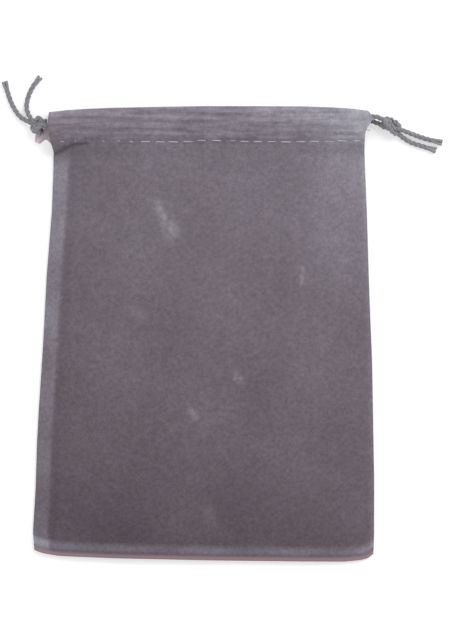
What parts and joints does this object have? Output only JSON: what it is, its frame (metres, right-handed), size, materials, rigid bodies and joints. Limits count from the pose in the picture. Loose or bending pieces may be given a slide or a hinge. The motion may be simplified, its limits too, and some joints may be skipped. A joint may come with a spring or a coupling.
{
  "type": "drawstring pouch",
  "caption": "Flat velvet drawstring pouch for dice, with a sewn tunnel at the mouth and a knotted drawcord leaving it at each side.",
  "frame": {"origin": "bottom centre of the pouch without its cords, on the surface it lies on", "axes": "+X across the pouch to the right, +Y up to the mouth, +Z out of the front face"},
  "size_m": [0.1771, 0.1957, 0.0137],
  "materials": {
    "velvet": "short-pile velvet",
    "backing": "woven backing of the velvet",
    "thread": "sewing thread",
    "cord": "twisted satin cord"
  },
  "bodies": {
    "pouch": {"front_panel": "velvet", "back_panel": "velvet", "front_casing": "velvet", "back_casing": "velvet", "left_seam_allowance": "backing", "bottom_seam_allowance": "backing", "left_seam_stitches": "thread", "bottom_seam_stitches": "thread", "front_casing_stitches": "thread", "back_casing_stitches": "thread", "left_slit_flap": "backing"},
    "left_drawcord": {"left_cord": "cord", "left_knot": "cord", "left_tail_outer": "cord", "left_tail_inner": "cord"},
    "right_drawcord": {"right_cord": "cord", "right_knot": "cord", "right_tail_upper": "cord", "right_tail_lower": "cord"}
  },
  "joints": [
    {"name": "pull", "type": "slide", "parent": "pouch", "child": "right_drawcord", "axis": [1, 0, 0], "range_m": [0, 0.048], "deforming": ["front_casing", "back_casing", "front_panel", "back_panel", "front_casing_stitches", "back_casing_stitches", "left_slit_flap", "left_seam_allowance", "left_seam_stitches"]},
    {"name": "pull_left", "type": "slide", "parent": "pouch", "child": "left_drawcord", "axis": [-1, 0, 0], "range_m": [0, 0.048], "deforming": ["front_casing", "back_casing", "front_panel", "back_panel", "front_casing_stitches", "back_casing_stitches", "left_slit_flap", "left_seam_allowance", "left_seam_stitches"]}
  ],
  "couplings": [
    {"joint": "pull_left", "follows": "pull", "ratio": 1}
  ]
}
